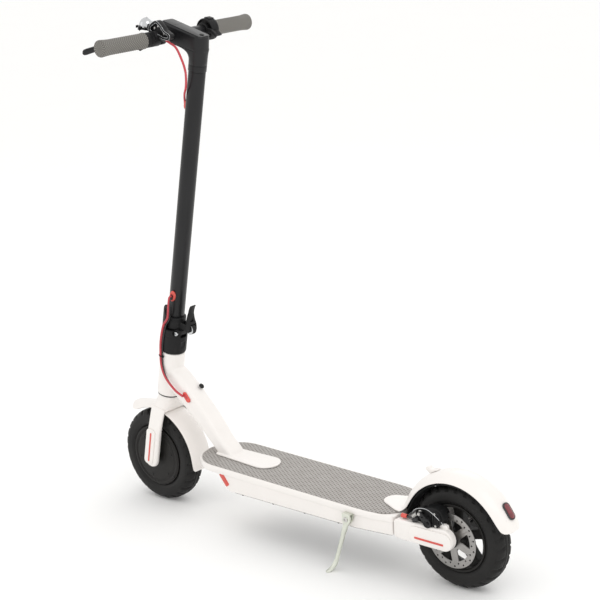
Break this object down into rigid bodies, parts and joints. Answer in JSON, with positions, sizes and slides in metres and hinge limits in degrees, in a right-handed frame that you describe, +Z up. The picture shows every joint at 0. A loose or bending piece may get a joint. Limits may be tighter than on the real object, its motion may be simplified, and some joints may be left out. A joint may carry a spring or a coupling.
{
  "type": "electric kick scooter",
  "caption": "Folding electric kick scooter with a white deck, fork and fenders, a black stem and handlebar, a hub motor wheel, a disc brake and a kickstand.",
  "frame": {"origin": "on the ground under the middle of the bounding box, with the scooter upright on both tyres and its kickstand", "axes": "-X is the way it rides, -Y is the rider's left, +Z is up"},
  "size_m": [1.0774, 0.433, 1.1101],
  "materials": {
    "white_paint": "warm white satin powder coat",
    "mat_rubber": "matt grey moulded rubber with rows of short grooves",
    "tyre_rubber": "matt black tyre rubber",
    "grip_rubber": "matt grey rubber, knurled",
    "black_satin": "satin black coating",
    "black_gloss": "polished black plastic",
    "red_plastic": "glossy red plastic",
    "cable_red": "smooth red cable sheath",
    "steel": "bright steel",
    "alloy": "bead-blasted light alloy",
    "lamp_lens": "clear moulded lens over a bright reflector",
    "cell_wrap": "shrink-wrapped cells"
  },
  "bodies": {
    "frame": {"neck": "white_paint", "deck_shell": "white_paint", "deck_mat": "mat_rubber", "bottom_cover": "black_satin", "battery_pack": "cell_wrap", "motor_controller": "alloy", "rear_fork": "white_paint", "arm_cap_left": "white_paint", "arm_cap_right": "white_paint", "rear_strip_left": "red_plastic", "rear_strip_right": "red_plastic", "rear_fender": "white_paint", "tail_light": "red_plastic", "fender_hook": "alloy", "rear_axle": "steel", "caliper_body": "black_satin", "rear_cable_grommet": "red_plastic", "rear_brake_cable": "black_satin", "kickstand_bracket": "alloy", "neck_grommet": "red_plastic"},
    "fork": {"fork": "white_paint", "fork_cap_left": "white_paint", "fork_cap_right": "white_paint", "fork_strip_left": "red_plastic", "fork_strip_right": "red_plastic", "front_fender": "white_paint", "front_axle": "steel", "fold_base": "black_satin", "hinge_bolt": "steel", "lower_brake_cable": "cable_red"},
    "stem": {"stem_joint": "black_satin", "stem_tube": "black_satin", "stem_grommet_lower": "red_plastic", "stem_grommet_upper": "red_plastic", "headstock": "black_satin", "display_panel": "black_gloss", "headlight": "lamp_lens", "handlebar": "black_satin", "left_grip": "grip_rubber", "right_grip": "grip_rubber", "brake_perch": "black_satin", "bell_base": "black_satin", "bell_dome": "steel", "throttle_housing": "black_satin", "upper_cable": "cable_red"},
    "front_wheel": {"front_tyre": "tyre_rubber", "front_hub_motor": "black_satin"},
    "rear_wheel": {"rear_rim": "black_satin", "rear_tyre": "tyre_rubber", "brake_disc": "steel"},
    "latch_lever": {"latch_lever": "black_satin"},
    "latch_knob": {"latch_knob": "black_satin"},
    "brake_lever": {"brake_lever": "black_satin"},
    "caliper_arm": {"caliper_arm": "steel"},
    "bell_striker": {"bell_striker": "black_satin"},
    "throttle": {"throttle_paddle": "black_satin"},
    "kickstand": {"kickstand_leg": "alloy"},
    "power_button": {"power_button": "black_satin"},
    "charge_cap": {"charge_cap": "black_satin"}
  },
  "joints": [
    {"name": "steering", "type": "hinge", "parent": "frame", "child": "fork", "pos_m": [-0.38735, 0, 0.30295], "axis": [0.2233, 0, 0.9748], "range_deg": [-50, 50], "deforming": ["lower_brake_cable"]},
    {"name": "stem_fold", "type": "hinge", "parent": "fork", "child": "stem", "pos_m": [-0.34087, 0, 0.41182], "axis": [0, 1, 0], "range_deg": [0, 90], "deforming": ["lower_brake_cable"]},
    {"name": "front_wheel_spin", "type": "hinge", "parent": "fork", "child": "front_wheel", "pos_m": [-0.432, 0, 0.108], "axis": [0, 1, 0], "continuous": true},
    {"name": "rear_wheel_spin", "type": "hinge", "parent": "frame", "child": "rear_wheel", "pos_m": [0.408, 0, 0.108], "axis": [0, 1, 0], "continuous": true},
    {"name": "latch_lever_open", "type": "hinge", "parent": "stem", "child": "latch_lever", "pos_m": [-0.31016, 0, 0.42274], "axis": [0, 1, 0], "range_deg": [0, 70]},
    {"name": "latch_knob_turn", "type": "hinge", "parent": "stem", "child": "latch_knob", "pos_m": [-0.31016, 0, 0.42274], "axis": [0, 1, 0], "range_deg": [0, 90]},
    {"name": "brake_squeeze", "type": "hinge", "parent": "stem", "child": "brake_lever", "pos_m": [-0.31404, -0.065, 1.07097], "axis": [0.2233, 0, 0.9748], "range_deg": [0, 13], "stiffness_Nm_per_rad": 4, "springref_deg": -5.73},
    {"name": "caliper_pull", "type": "hinge", "parent": "frame", "child": "caliper_arm", "pos_m": [0.3707, -0.063, 0.146], "axis": [0, 1, 0], "range_deg": [0, 8], "stiffness_Nm_per_rad": 1, "springref_deg": -5.73},
    {"name": "bell_pull", "type": "hinge", "parent": "stem", "child": "bell_striker", "pos_m": [-0.31737, -0.0685, 1.09225], "axis": [0.2233, 0, 0.9748], "range_deg": [0, 20], "stiffness_Nm_per_rad": 0.05, "springref_deg": -5.73},
    {"name": "throttle_press", "type": "hinge", "parent": "stem", "child": "throttle", "pos_m": [-0.28169, 0, 1.07023], "axis": [0, 1, 0], "range_deg": [0, 35], "stiffness_Nm_per_rad": 0.3, "springref_deg": -5.73},
    {"name": "kickstand_fold", "type": "hinge", "parent": "frame", "child": "kickstand", "pos_m": [0.183, -0.083, 0.119], "axis": [0, 1, 0], "range_deg": [-92, 0]},
    {"name": "power_press", "type": "slide", "parent": "stem", "child": "power_button", "axis": [-0.2233, 0, -0.9748], "range_m": [0, 0.0012], "stiffness_N_per_m": 800, "springref_m": -0.0005},
    {"name": "charge_cap_open", "type": "hinge", "parent": "frame", "child": "charge_cap", "pos_m": [-0.31003, 0.011, 0.29339], "axis": [0, -1, 0], "range_deg": [0, 100]}
  ],
  "couplings": [
    {"joint": "caliper_pull", "follows": "brake_squeeze", "ratio": 0.6154}
  ]
}
